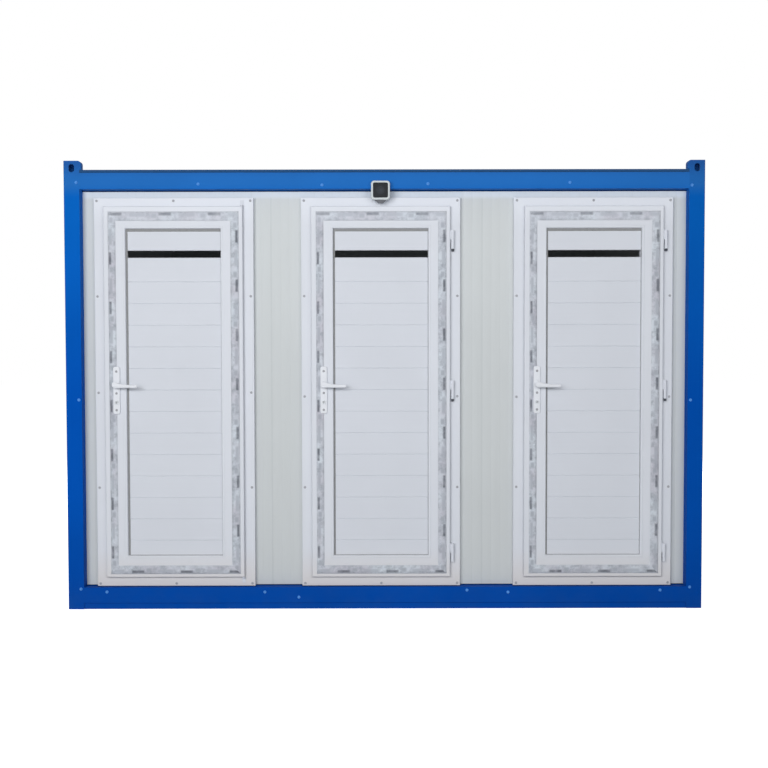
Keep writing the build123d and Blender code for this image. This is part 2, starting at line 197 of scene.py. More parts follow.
class CabinStage(bpy.types.PropertyGroup):
    """Camera and light."""

    eye: FloatVectorProperty(
        name="Eye", description="Camera place", default=(-0.00922, -6.48901, 1.44299), size=3,
        subtype="TRANSLATION",
    )
    pitch: angle("Pitch", "Camera tilt downwards", 0.03118)
    yaw: angle("Yaw", "Camera turn to the right", 0.00091)
    roll: angle("Roll", "Camera roll", -0.00177)
    lens: FloatProperty(name="Lens", description="Focal length on a 36 mm sensor", default=43.96, min=1.0)
    key_power: power("Key power", "Power of the key light", 255.0)
    key_size: length("Key size", "Side of the key light", 4.0)
    key_turn: angle("Key turn", "Key light to the left of the front", 0.38)
    key_rise: angle("Key rise", "Key light over the horizon", 0.15)
    fill_power: power("Fill power", "Power of the front light", 130.0)
    rear_power: power("Rear power", "Power of each light behind", 190.0)
    room_power: power("Room power", "Power of the light indoors", 1.2)
    sky: FloatProperty(name="Sky", description="Strength of the soft light all round", default=0.23, min=0.0)
    lift: FloatProperty(name="Floor lift", description="Whiteness added to the floor", default=0.80, min=0.0)


# Small tools for nodes

def fill_inputs(tree, node, inputs):
    """Give a node its inputs, named or by place, as values or links."""
    for name, value in inputs.items():
        if isinstance(value, bpy.types.NodeSocket):
            tree.links.new(value, node.inputs[name])
        else:
            node.inputs[name].default_value = value


def add_node(tree, kind, inputs=None, **settings):
    """A node with its settings and its inputs."""
    made = tree.nodes.new(kind)
    for name, value in settings.items():
        setattr(made, name, value)
    fill_inputs(tree, made, inputs or {})
    return made


def shade(base, factor):
    """A colour made darker or lighter."""
    return tuple(min(1.0, channel * factor) for channel in base)


def show_white(tree, plain, white, output):
    """The white shader for rays of the camera, of gloss and of glass, and the plain one for the rest."""
    path = add_node(tree, "ShaderNodeLightPath").outputs
    seen = path["Is Camera Ray"]
    for name in ("Is Glossy Ray", "Is Transmission Ray"):
        seen = add_node(tree, "ShaderNodeMath", {0: seen, 1: path[name]}, operation="MAXIMUM").outputs[0]
    mix = add_node(tree, "ShaderNodeMixShader", {0: seen, 1: plain.outputs[0], 2: white.outputs[0]})
    tree.links.new(mix.outputs[0], tree.nodes[output].inputs["Surface"])


class Coat:
    """A material whose tone is laid over its base in washes, read on the object's own coordinates."""

    def __init__(self, name, base=BLACK):
        self.material = bpy.data.materials.new(name)
        self.material.use_nodes = True
        self.tree = self.material.node_tree
        self.shader = self.tree.nodes["Principled BSDF"]
        self.where = self.node("ShaderNodeTexCoord").outputs["Object"]
        self.axes = self.node("ShaderNodeSeparateXYZ", {0: self.where}).outputs
        self.base = base
        self.tone = base

    def node(self, kind, inputs=None, **settings):
        return add_node(self.tree, kind, inputs, **settings)

    def grain(self, scale, detail=2.0, rough=0.5, stretch=None):
        """Noise between 0 and 1, which a stretch scales differently along each axis."""
        where = self.where
        if stretch:
            where = self.node("ShaderNodeMapping", {"Vector": where, "Scale": stretch}).outputs[0]
        inputs = {"Vector": where, "Scale": scale, "Detail": detail, "Roughness": rough}
        return self.node("ShaderNodeTexNoise", inputs).outputs[0]

    def sums(self, operation, a, b=0.0):
        """One step of arithmetic."""
        return self.node("ShaderNodeMath", {0: a, 1: b}, operation=operation).outputs[0]

    def ramp(self, value, low, high, to_low=0.0, to_high=1.0):
        """The value moved from one range to another, held at its ends."""
        inputs = {"Value": value, "From Min": low, "From Max": high, "To Min": to_low, "To Max": to_high}
        return self.node("ShaderNodeMapRange", inputs).outputs[0]

    def window(self, value, low, high, ease):
        """1 between two limits and 0 outside them, with soft ends."""
        rise = self.ramp(value, low, low + ease)
        return self.sums("MULTIPLY", rise, self.ramp(value, high, high - ease))

    def mix(self, factor, a, b, how="MIX"):
        """Two colours mixed by a factor."""
        made = self.node("ShaderNodeMix", data_type="RGBA", blend_type=how)
        named = {socket.identifier: place for place, socket in enumerate(made.inputs)}
        a, b = (c if isinstance(c, bpy.types.NodeSocket) else (*c, 1.0) for c in (a, b))
        inputs = {named["Factor_Float"]: factor, named["A_Color"]: a, named["B_Color"]: b}
        fill_inputs(self.tree, made, inputs)
        return next(socket for socket in made.outputs if socket.identifier == "Result_Color")

    def vary(self, factor, dark, light):
        """Let the tone wander between a darker and a lighter shade of the base."""
        self.tone = self.mix(factor, shade(self.base, dark), shade(self.base, light))

    def lay(self, paint, factor, how="MIX"):
        """Lay a paint over the tone by a factor."""
        self.tone = self.mix(factor, self.tone, paint, how)

    def wash(self, paint, value, low, high, strength=1.0):
        """Lay a paint over the tone as a value goes from low to high."""
        self.lay(paint, self.ramp(value, low, high, 0.0, strength))

    def bump(self, height, strength, distance):
        """Fine relief on the shader's normal."""
        made = self.node("ShaderNodeBump", {"Height": height, "Strength": strength, "Distance": distance})
        self.tree.links.new(made.outputs[0], self.shader.inputs["Normal"])

    def done(self, rough, **fixed):
        """The material with its tone, its roughness and the values that are the same all over."""
        inputs = {"Base Color": self.tone, "Roughness": rough}
        inputs.update((name.replace("_", " "), value) for name, value in fixed.items())
        fill_inputs(self.tree, self.shader, inputs)
        return self.material


# Finishes

def frame_paint(name, paints, edge=None):
    """Blue paint stepped lighter towards the roof as painted light and, where it has no slate edge, darker
    towards the right as painted shade; with soft patches, rubbed marks and dust near the ground.
    """
    coat = Coat(name, paints.frame_foot_shaded)
    height = coat.axes["Z"]
    lit_blues = (paints.frame_middle_lit, paints.frame_top_lit, paints.roof_lit_blue, paints.lug_lit_blue)
    # Painted light: the frame's blue steps lighter towards the roof
    for blue, limits in zip(lit_blues, PAINTED_LIGHT_STEPS):
        coat.wash(blue, height, *limits)
    patches = coat.ramp(coat.grain(1.7, 4.0), 0.0, 1.0, 0.86, 1.14)
    level = coat.node("ShaderNodeCombineColor", {0: patches, 1: patches, 2: patches}).outputs[0]
    coat.lay(level, 1.0, "MULTIPLY")
    rubs = coat.grain(2.2, 5.0, 0.65, (5.0, 5.0, 46.0))
    coat.wash(paints.frame_rub, rubs, 0.60, 0.82, 0.08)
    grit = coat.ramp(coat.grain(9.0, 6.0, 0.7), 0.35, 0.8, 0.0, 0.22)
    coat.lay(paints.frame_dust, coat.sums("MULTIPLY", coat.ramp(height, 0.20, 0.0), grit))
    if edge:
        # The top of a roof rail is painted dark slate
        coat.wash(paints.edge_slate, height, edge - 0.0022, edge)
    else:
        # Painted shade: posts, base rails and lugs darken towards the right, away from the light on the left
        coat.wash(BLACK, coat.axes["X"], 0.6, 1.75, 0.11)
    coat.bump(coat.grain(340.0), 0.10, 0.0006)
    return coat.done(coat.ramp(rubs, 0.3, 0.8, 0.36, 0.56), Specular_IOR_Level=0.02)


def wall_coating(name, base, head_light):
    """Satin coated steel skin with a fine grain and faint rain marks, painted lighter and bluer under the
    roof rails as painted light, and darker towards the bottom as painted shade.
    """
    coat = Coat(name, base)
    height = coat.axes["Z"]
    coat.vary(coat.grain(2.1, 3.0), 0.955, 1.03)
    rain = coat.grain(1.0, 4.0, 0.6, (34.0, 34.0, 1.1))
    coat.wash(shade(base, 0.86), rain, 0.55, 0.85, 0.22)
    coat.wash(shade(base, 0.70), coat.grain(260.0), 0.68, 0.80, 0.18)
    # Painted shade: the wall darkens downwards, from 2.15 m to 1.25 m
    coat.wash(BLACK, height, 2.15, 1.25, 0.06)
    # Painted light: the strip under the roof rails turns lighter and bluer
    coat.wash(head_light, height, 2.322, 2.342)
    coat.bump(coat.grain(410.0), 0.08, 0.0004)
    return coat.done(coat.ramp(rain, 0.2, 0.9, 0.42, 0.58), Specular_IOR_Level=0.30)


def door_plastic(name, base, dust, streak):
    """White window plastic: faint draw lines, a few grey marks, painted lighter at the top as painted light,
    and dusty at the foot.
    """
    coat = Coat(name, base)
    height = coat.axes["Z"]
    coat.vary(coat.grain(3.3, 3.0), 0.97, 1.03)
    lines = coat.grain(1.0, 3.0, stretch=streak)
    coat.wash(shade(base, 0.92), lines, 0.5, 0.9, 0.25)
    # Painted light: the plastic turns lighter towards the top of the doors
    coat.wash(shade(base, 1.18), height, 2.17, 2.30, 0.55)
    coat.wash(dust, height, 0.34, 0.15, 0.5)
    marks = coat.grain(17.0, 6.0, 0.75)
    coat.wash(shade(base, 0.74), marks, 0.66, 0.80, 0.30)
    coat.bump(lines, 0.05, 0.0004)
    return coat.done(coat.ramp(marks, 0.3, 0.7, 0.30, 0.44), Specular_IOR_Level=0.35)


def film_finish(name, paints, pitch):
    """Protective film: clouded grey with plain soft dashes, read along each strip's UV map."""
    coat = Coat(name, paints.film_pale)
    strip = coat.node("ShaderNodeUVMap", uv_map="along").outputs[0]
    along, across, _ = coat.node("ShaderNodeSeparateXYZ", {0: strip}).outputs
    step = coat.sums("FRACT", coat.sums("DIVIDE", along, pitch))

    def patch(length_limits, width_limits, strength):
        spot = coat.sums("MULTIPLY", coat.window(step, *length_limits), coat.window(across, *width_limits))
        return coat.sums("MULTIPLY", spot, strength)

    mottle = coat.grain(27.0, 5.0, 0.70)
    coat.wash(paints.film_mauve, coat.grain(7.0, 3.0), 0.38, 0.66, 0.8)
    block = patch((0.40, 0.80, 0.06), (0.10, 0.62, 0.16), 0.55)
    swirl = patch((0.85, 1.02, 0.05), (0.12, 0.78, 0.20), 0.70)
    cloud = coat.sums("MAXIMUM", coat.sums("MAXIMUM", block, swirl), coat.ramp(mottle, 0.42, 0.68, 0.0, 0.85))
    coat.lay(paints.film_grey, cloud)
    worn = coat.ramp(coat.grain(26.0), 0.30, 0.60, 0.52, 0.90)
    coat.lay(paints.film_dark, patch((0.02, 0.30, 0.03), (0.06, 0.48, 0.13), worn))
    # Painted light: the film turns lighter along the top of the leaf
    coat.wash(paints.film_top_light, coat.axes["Z"], 2.15, 2.21, 0.22)
    edge = coat.ramp(coat.window(across, 0.0, 1.0, 0.12), 0.0, 1.0, 0.25, 1.0)
    coat.tone = coat.mix(edge, paints.plastic_white, coat.tone)
    coat.bump(mottle, 0.10, 0.0006)
    return coat.done(0.40, Specular_IOR_Level=0.35)


def powder_coat(name, base):
    """White powder coat with a fine peel."""
    coat = Coat(name, base)
    peel = coat.grain(900.0)
    coat.vary(coat.grain(22.0, 3.0), 0.95, 1.04)
    coat.bump(peel, 0.10, 0.0003)
    return coat.done(coat.ramp(peel, 0.3, 0.7, 0.26, 0.40))


def zinc_coat(name, base, spangle):
    """Galvanised steel with its crystal pattern and dull streaks."""
    coat = Coat(name, base)
    crystal = coat.node("ShaderNodeTexVoronoi", {"Vector": coat.where, "Scale": spangle}).outputs["Color"]
    level = coat.node("ShaderNodeRGBToBW", {0: crystal}).outputs[0]
    coat.vary(level, 0.84, 1.16)
    coat.wash(shade(base, 0.72), coat.grain(5.0, 5.0, 0.65), 0.5, 0.8, 0.4)
    coat.bump(coat.grain(180.0), 0.06, 0.0004)
    return coat.done(coat.ramp(level, 0.0, 1.0, 0.38, 0.56), Metallic=0.75)


def floor_finish(name, base, bare):
    """Coated floor board: long grain under a thin worn coat."""
    coat = Coat(name, base)
    fibre = coat.grain(1.6, 6.0, 0.65, (2.2, 40.0, 8.0))
    worn = coat.grain(4.0, 5.0, 0.7)
    coat.vary(fibre, 0.66, 1.28)
    coat.wash(bare, worn, 0.5, 0.8, 0.45)
    coat.bump(fibre, 0.12, 0.0006)
    return coat.done(coat.ramp(worn, 0.3, 0.8, 0.45, 0.70))


def lamp_shell_finish(name, base):
    """Matt moulded shell with a fine texture."""
    coat = Coat(name, base)
    skin = coat.grain(700.0)
    coat.vary(coat.grain(30.0, 4.0), 0.92, 1.06)
    coat.bump(skin, 0.14, 0.0003)
    return coat.done(coat.ramp(skin, 0.3, 0.7, 0.40, 0.54))


def lamp_face_finish(name, base, centre):
    """Dark glossy face, a little lighter towards its middle."""
    coat = Coat(name, base)
    off = coat.node("ShaderNodeVectorMath", {0: coat.where, 1: centre}, operation="DISTANCE").outputs["Value"]
    glow = coat.ramp(off, 0.032, 0.004)
    cloud = coat.ramp(coat.grain(60.0, 3.0), 0.3, 0.7, 0.5, 1.0)
    coat.vary(coat.sums("MULTIPLY", glow, cloud), 1.0, 3.4)
    return coat.done(coat.ramp(glow, 0.0, 1.0, 0.24, 0.34), Specular_IOR_Level=0.30)


def rubber_finish(name, base):
    """Dark rubber or moulded plastic with a dull bloom."""
    coat = Coat(name, base)
    bloom = coat.grain(55.0, 4.0, 0.6)
    coat.vary(bloom, 0.8, 1.25)
    coat.bump(coat.grain(600.0), 0.10, 0.0003)
    return coat.done(coat.ramp(bloom, 0.3, 0.7, 0.46, 0.66), Specular_IOR_Level=0.08)


def screw_finish(name, base):
    """Coated screw heads, each a little different."""
    coat = Coat(name, base)
    mottle = coat.grain(130.0, 3.0)
    coat.vary(mottle, 0.75, 1.25)
    return coat.done(coat.ramp(mottle, 0.3, 0.7, 0.28, 0.46))


FINISHES = {}


def finish(name):
    """The finish of that name, made when it is first asked for."""
    if name not in FINISHES:
        paints = bpy.context.scene.cabin_paints
        lens_low, lens_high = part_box("lamp_lens")
        makers = {
            "frame_paint": (frame_paint, paints),
            "roof_paint": (frame_paint, paints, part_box("roof_front_rail")[1].z - 0.0165),
            "roof_edge": (rubber_finish, paints.edge_slate),
            "wall_seal": (rubber_finish, paints.shade_strip_blue),
            "joint_seal": (wall_coating, paints.joint_grey, paints.wall_head_light),
            "board_gasket": (rubber_finish, paints.gasket_and_shadow_grey),
            "wall_coating": (wall_coating, paints.wall_white, paints.wall_head_light),
            "door_plastic": (door_plastic, paints.plastic_white, paints.plastic_dust, (90.0, 90.0, 1.5)),
            "board_plastic": (door_plastic, paints.board_white, paints.plastic_dust, (1.5, 90.0, 120.0)),
            "door_film": (film_finish, paints, bpy.context.scene.cabin_sizes.dash_pitch),
            "powder_coat": (powder_coat, paints.metal_white),
            "hinge_coat": (powder_coat, paints.hinge_white),
            "zinc_coat": (zinc_coat, paints.zinc, 55.0),
            "lock_zinc": (zinc_coat, shade(paints.zinc, 1.2), 900.0),
            "floor_board": (floor_finish, paints.floor_brown, paints.floor_worn),
            "lamp_shell": (lamp_shell_finish, paints.lamp_grey),
            "lamp_face": (lamp_face_finish, paints.lamp_dark, (lens_low + lens_high) / 2),
            "dark_rubber": (rubber_finish, paints.rubber),
            "neck_plastic": (lamp_shell_finish, paints.neck_grey),
            # Lighter blue screw heads: painted highlight
            "frame_screw": (screw_finish, paints.screw_blue_highlit),
            "small_screw": (screw_finish, paints.screw_grey),
            "plate_screw": (screw_finish, paints.plate_screw),
        }
        make, *values = makers[name]
        FINISHES[name] = make(name, *values)
    return FINISHES[name]


# Small tools for meshes

def mesh_of(bm, name, crease=0.6):
    """The bmesh as a mesh, its normals outwards and its soft edges smooth."""
    bmesh.ops.recalc_face_normals(bm, faces=bm.faces)
    mesh = bpy.data.meshes.new(name)
    bm.to_mesh(mesh)
    bm.free()
    mesh.shade_smooth()
    mesh.set_sharp_from_angle(angle=crease)
    return mesh


def add_piece(name, mesh, finish_name=None):
    """A new object at the origin."""
    piece = bpy.data.objects.new(name, mesh)
    bpy.context.scene.collection.objects.link(piece)
    if finish_name:
        mesh.materials.clear()
        mesh.materials.append(finish(finish_name))
    return piece


def settle(piece, body, slot, *stood_for):
    """The piece rides on its body and stands for CAD nodes; its slot is not used."""
    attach(piece, body)
    if stood_for:
        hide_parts(*stood_for)


def lofted(name, *lofts, ring=False, crease=0.6):
    """A mesh of closed skins through rows of points: the ends are capped, or joined where it is a ring."""
    bm = bmesh.new()
    for rows in lofts:
        rings = [[bm.verts.new(point) for point in row] for row in rows]
        for near, far in zip(rings, rings[1:] + rings[:1] if ring else rings[1:]):
            for i in range(len(near)):
                j = (i + 1) % len(near)
                bm.faces.new((near[i], near[j], far[j], far[i]))
        if not ring:
            bm.faces.new(rings[0][::-1])
            bm.faces.new(rings[-1])
    return mesh_of(bm, name, crease)


def run_rows(section, left, right, place):
    """Rows of a strip of (depth, height) section along X, moved to one side of the cabin."""
    return [[place @ Vector((x, depth, z)) for depth, z in section] for x in (left, right)]


def cabin_sides():
    """Places of the four outer faces, with half the clear width between their posts."""
    width, depth = CAD_HIGH.x, CAD_HIGH.y
    clear_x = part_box("roof_front_rail")[1].x
    clear_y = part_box("roof_side_rails")[1].y
    faces = (
        ((0.0, -depth, 0.0), 0.0, clear_x), ((0.0, depth, 0.0), math.pi, clear_x),
        ((-width, 0.0, 0.0), -math.pi / 2, clear_y), ((width, 0.0, 0.0), math.pi / 2, clear_y),
    )
    return [(Matrix.Translation(at) @ Matrix.Rotation(turn, 4, "Z"), clear) for at, turn, clear in faces]


def framed(low, high, y, insets):
    """Four corners of an upright rectangle drawn in by its top, right, bottom and left insets."""
    top, right, bottom, left = insets
    return (
        Vector((low.x + left, y, high.z - top)), Vector((high.x - right, y, high.z - top)),
        Vector((high.x - right, y, low.z + bottom)), Vector((low.x + left, y, low.z + bottom)),
    )


def rounded_row(centre, half_w, half_h, radius, y, steps=6):
    """A rounded rectangle round a centre (x, z), at one depth y."""
    row = []
    for quarter, (side_x, side_z) in enumerate(((1, 1), (-1, 1), (-1, -1), (1, -1))):
        for i in range(steps + 1):
            turn = math.pi / 2 * (quarter + i / steps)
            x = centre[0] + side_x * (half_w - radius) + radius * math.cos(turn)
            z = centre[1] + side_z * (half_h - radius) + radius * math.sin(turn)
            row.append((x, y, z))
    return row


def eased_rows(centre, half_w, half_h, radius, y_back, y_front, ease, steps=4):
    """Rows of a rounded plate whose front edge is eased by a quarter round."""
    way = 1.0 if y_front > y_back else -1.0
    rows = [rounded_row(centre, half_w, half_h, radius, y_back)]
    for i in range(steps + 1):
        turn = math.pi / 2 * i / steps
        inset = ease * (1.0 - math.cos(turn))
        y = y_front - way * ease * (1.0 - math.sin(turn))
        rows.append(rounded_row(centre, half_w - inset, half_h - inset, max(radius - inset, 0.0005), y))
    return rows


def lathe_rows(profile, count, lobes=None):
    """Rows turned about Z from (radius, height) steps; lobes pulls in every other pair of one step."""
    rows = []
    for place, (radius, height) in enumerate(profile):
        row = []
        for i in range(count):
            turn = 2 * math.pi * i / count
            pulled = lobes and place == lobes[0] and (i // 2) % 2
            reach = radius * lobes[1] if pulled else radius
            row.append((reach * math.cos(turn), reach * math.sin(turn), height))
        rows.append(row)
    return rows


def clusters(node, gap=0.2):
    """Boxes of a node's solids that stand apart in height."""
    points = sorted((tuple(v.co) for v in frame["nodes"][node].data.vertices), key=lambda p: p[2])
    groups = [[points[0]]]
    for point in points[1:]:
        if point[2] - groups[-1][-1][2] > gap:
            groups.append([])
        groups[-1].append(point)
    return [(Vector(map(min, *group)), Vector(map(max, *group))) for group in groups]


def joint_place(name):
    """Place of a joint in the record."""
    joints = frame["record"]["behaviour"]["joints"]
    return Vector(next(j["pos_m"] for j in joints if j["name"] == name))


# Geometry Nodes: one piece set out on points, each with its own size

def spread_tree():
    """Tree that puts a piece on every point, sized by the points and turned by a seeded random angle."""
    tree = bpy.data.node_groups.get("cabin_spread")
    if tree:
        return tree
    tree = bpy.data.node_groups.new("cabin_spread", "GeometryNodeTree")
    sockets = (
        ("Points", "Geometry"), ("Piece", "Object"), ("Turn", "Rotation"), ("Spin", "Float"), ("Seed", "Int"),
        ("Finish", "Material"),
    )
    for label, kind in sockets:
        tree.interface.new_socket(label, in_out="INPUT", socket_type="NodeSocket" + kind)
    tree.interface.new_socket("Mesh", in_out="OUTPUT", socket_type="NodeSocketGeometry")
    given = tree.nodes.new("NodeGroupInput").outputs
    source = add_node(tree, "GeometryNodeObjectInfo", {"Object": given["Piece"]})
    size = add_node(tree, "GeometryNodeInputNamedAttribute", {"Name": "size"}, data_type="FLOAT_VECTOR")
    placed = add_node(tree, "GeometryNodeInstanceOnPoints", {
        "Points": given["Points"],
        "Instance": source.outputs["Geometry"],
        "Rotation": given["Turn"],
        "Scale": size.outputs["Attribute"],
    })
    chance = add_node(tree, "FunctionNodeRandomValue", data_type="FLOAT")
    named = {socket.identifier: socket for socket in chance.inputs}
    tree.links.new(given["Spin"], named["Max_001"])
    tree.links.new(given["Seed"], named["Seed"])
    drawn = next(s for s in chance.outputs if s.identifier == "Value_001")
    spin = add_node(tree, "ShaderNodeCombineXYZ", {"Z": drawn})
    turned = add_node(tree, "GeometryNodeRotateInstances", {
        "Instances": placed.outputs[0],
        "Rotation": spin.outputs[0],
    })
    real = add_node(tree, "GeometryNodeRealizeInstances", {0: turned.outputs[0]})
    coated = add_node(tree, "GeometryNodeSetMaterial", {
        "Geometry": real.outputs[0],
        "Material": given["Finish"],
    })
    add_node(tree, "NodeGroupOutput", {0: coated.outputs[0]})
    return tree


def spread(name, source_mesh, points, finish_name, turn=TURN_NONE, spin=0.0):
    """A plain mesh object of the source set out on points given as (place, size)."""
    tree = spread_tree()
    ids = {item.name: item.identifier for item in tree.interface.items_tree if item.in_out == "INPUT"}
    mesh = bpy.data.meshes.new(name)
    mesh.from_pydata([place for place, size in points], [], [])
    sizes = mesh.attributes.new("size", "FLOAT_VECTOR", "POINT")
    sizes.data.foreach_set("vector", [c for place, size in points for c in size])
    piece = add_piece(name, mesh)
    source = add_piece(name + "_source", source_mesh)
    step = piece.modifiers.new("Spread", "NODES")
    step.node_group = tree
    step[ids["Piece"]] = source
    step[ids["Turn"]] = turn
    step[ids["Spin"]] = spin
    step[ids["Seed"]] = bpy.context.scene.cabin_sizes.seed
    step[ids["Finish"]] = finish(finish_name)
    graph = bpy.context.evaluated_depsgraph_get()
    made = bpy.data.meshes.new_from_object(piece.evaluated_get(graph), depsgraph=graph)
    piece.modifiers.clear()
    piece.data = made
    bpy.data.meshes.remove(mesh)
    bpy.data.objects.remove(source)
    if not made.polygons:
        raise RuntimeError(name + " came out empty")
    return piece


def sized(places, wide=1.0):
    """Points at their places, each wider than the source by one factor."""
    return [(place, (wide, wide, 1.0)) for place in places]


# Pieces

def band_source(pitch, gap, rise):
    """One upright wall band, a pitch wide and a metre tall, its back on y = 0."""
    edge = pitch / 2
    flat = pitch / 2 - gap / 2
    section = ((-edge, 0.0), (-flat, -rise), (flat, -rise), (edge, 0.0))
    return lofted("wall_band", [[(x, y, z) for x, y in section] for z in (0.0, 1.0)])


def band_points(left, right, joints, low, high, holes, sizes):
    """Places and sizes of the bands of one wall; a hole is (left, right, top) of a doorway."""
    points = []
    edges = [left, *[j for j in joints if left < j < right], right]
    for start, end in zip(edges, edges[1:]):
        start += sizes.panel_gap / 2 if start != left else 0.0
        end -= sizes.panel_gap / 2 if end != right else 0.0
        count = max(1, round((end - start) / sizes.band_pitch))
        width = (end - start) / count
        for i in range(count):
            near, far = start + i * width, start + (i + 1) * width
            foot = low
            for hole_left, hole_right, hole_top in holes:
                if far > hole_left and near < hole_right:
                    foot = hole_top
            points.append((((near + far) / 2, 0.0, foot), (width / sizes.band_pitch, 1.0, high - foot)))
    return points


def hex_head():
    """Hex head on its washer, standing on z = 0."""
    washer = ((0.0085, 0.0), (0.0085, 0.0009), (0.0068, 0.0014))
    head = ((0.0062, 0.0008), (0.0062, 0.0046), (0.0050, 0.0056))
    return lofted("hex_head", lathe_rows(washer, 18), lathe_rows(head, 6))


def pan_head():
    """Pan head with a lobed recess, standing on z = 0."""
    head = ((0.0046, 0.0), (0.0046, 0.0007), (0.0038, 0.0017), (0.0022, 0.0022), (0.0011, 0.0009))
    return lofted("pan_head", lathe_rows(head, 16, lobes=(3, 0.55)))


def cap_source():
    """Round cap of a hinge, standing on z = 0."""
    profile = ((0.0072, -0.0004), (0.0078, 0.0060), (0.0076, 0.0100), (0.0064, 0.0132), (0.0030, 0.0144))
    return lofted("hinge_cap", lathe_rows(profile, 20))


def board_source(width, depth, pitch, groove):
    """One board of the door filling, its long edges chamfered on both faces."""
    half = pitch / 2
    deep = depth / 2
    section = (
        (-deep, half - groove), (-deep + groove, half), (deep - groove, half), (deep, half - groove),
        (deep, groove - half), (deep - groove, -half), (groove - deep, -half), (-deep, groove - half),
    )
    rows = [[(x, y, z) for y, z in section] for x in (-width / 2, width / 2)]
    return lofted("door_board", rows, crease=0.3)


def film_mesh(low, high, y, sizes):
    """Four mitred strips round a leaf, slightly wavy, with a UV map along each strip."""
    pace, ripple, swell, rest = 0.025, 31.0, 0.0003, 0.0004
    bm = bmesh.new()
    uv = bm.loops.layers.uv.new("along")
    rings = []
    for k in range(4):
        insets = [a + w * k / 3 for a, w in zip(sizes.film_in, sizes.film_w)]
        rings.append(framed(low, high, y, insets))
    begin = 0.0
    for side in range(4):
        start, end = rings[0][side], rings[0][(side + 1) % 4]
        run = (end - start).length
        steps = round(run / pace)
        rows = []
        for i in range(steps + 1):
            row = []
            for k, ring in enumerate(rings):
                place = ring[side].lerp(ring[(side + 1) % 4], i / steps)
                lift = noise.noise(place * ripple) * swell + rest
                place.y -= lift if k in (1, 2) else sizes.film_t
                reach = (place - start).dot(end - start) / run
                row.append((bm.verts.new(place), (begin + reach, k / 3)))
            rows.append(row)
        for near, far in zip(rows, rows[1:]):
            for k in range(3):
                corners = (near[k], near[k + 1], far[k + 1], far[k])
                face = bm.faces.new([corner[0] for corner in corners])
                for loop, corner in zip(face.loops, corners):
                    loop[uv].uv = corner[1]
        begin += run
    bmesh.ops.remove_doubles(bm, verts=bm.verts, dist=1e-5)
    return mesh_of(bm, "door_film")


def grip_rows(span, half_t, count=20):
    """Wedge shaped grip along X: a tall round hub, a level lower edge and a round tip."""
    hub, hub_z, hub_bulge = 0.0183, 0.0030, 0.8
    tip, tip_z = 0.0090, -0.0060
    start, sweep, taper, corner = 0.06, 0.94, 3.2, 0.75
    hub_steps, run_steps, tip_steps = 7, 12, 6
    straight = span - tip
    stations = []
    for i in range(hub_steps + 1):
        turn = math.pi / 2 * (start + sweep * i / hub_steps)
        stations.append((-hub_bulge * hub * math.cos(turn), hub * math.sin(turn), hub_z))
    for i in range(1, run_steps + 1):
        fall = 1.0 - (1.0 - i / run_steps) ** taper
        stations.append((straight * i / run_steps, hub + (tip - hub) * fall, hub_z + (tip_z - hub_z) * fall))
    for i in range(1, tip_steps + 1):
        turn = math.pi / 2 * sweep * i / tip_steps
        stations.append((straight + tip * math.sin(turn), tip * math.cos(turn), tip_z))
    rows = []
    for x, tall, z in stations:
        thick = half_t * min(1.0, (tall / tip) ** 0.5)
        row = []
        for k in range(count):
            turn = 2 * math.pi * k / count
            out = math.copysign(abs(math.cos(turn)) ** corner, math.cos(turn))
            up = math.copysign(abs(math.sin(turn)) ** corner, math.sin(turn))
            row.append((x, thick * out, z + tall * up))
        rows.append(row)
    return rows


def neck_rows(reach, count=24):
    """Collar on the plate and round neck of a lever, from y = 0 outwards along -y."""
    profile = (
        (0.0138, 0.0), (0.0138, 0.0030), (0.0128, 0.0042), (0.0098, 0.0050), (0.0092, 0.0080),
        (0.0092, reach - 0.010), (0.0110, reach - 0.004), (0.0118, reach),
    )
    return [[(x, -out, z) for x, z, out in row] for row in lathe_rows(profile, count)]


def moved(rows, x, y, z, flip):
    """Rows put in place, mirrored in depth where flip is -1."""
    return [[(x + px, y + flip * py, z + pz) for px, py, pz in row] for row in rows]


# Operators

class CABIN_OT_paint(bpy.types.Operator):
    """Give every CAD node its finish"""

    bl_idname = "cabin.paint"
    bl_label = "Paint the frame and panels"

    def execute(self, context):
        slots = {
            "blue_steel": "frame_paint",
            "zinc_steel": "zinc_coat",
            "floor_board": "floor_board",
            "wall_skin": "wall_coating",
            "white_plastic": "door_plastic",
            "white_metal": "powder_coat",
            "lamp_grey": "lamp_shell",
            "lamp_dark": "lamp_face",
            "lamp_black": "neck_plastic",
        }
        own = {}
        for rail in ("roof_front_rail", "roof_back_rail", "roof_side_rails"):
            own[rail] = "roof_paint"
        for hinge in ("middle_hinge_posts", "middle_hinge_wings", "right_hinge_posts", "right_hinge_wings"):
            own[hinge] = "hinge_coat"
        own["left_door_pivots"] = "hinge_coat"
        for row in frame["record"]["subparts"]:
            mesh = frame["nodes"][row["node"]].data
            mesh.materials.clear()
            mesh.materials.append(finish(own.get(row["node"], slots[row["material_slot"]])))
        return {"FINISHED"}


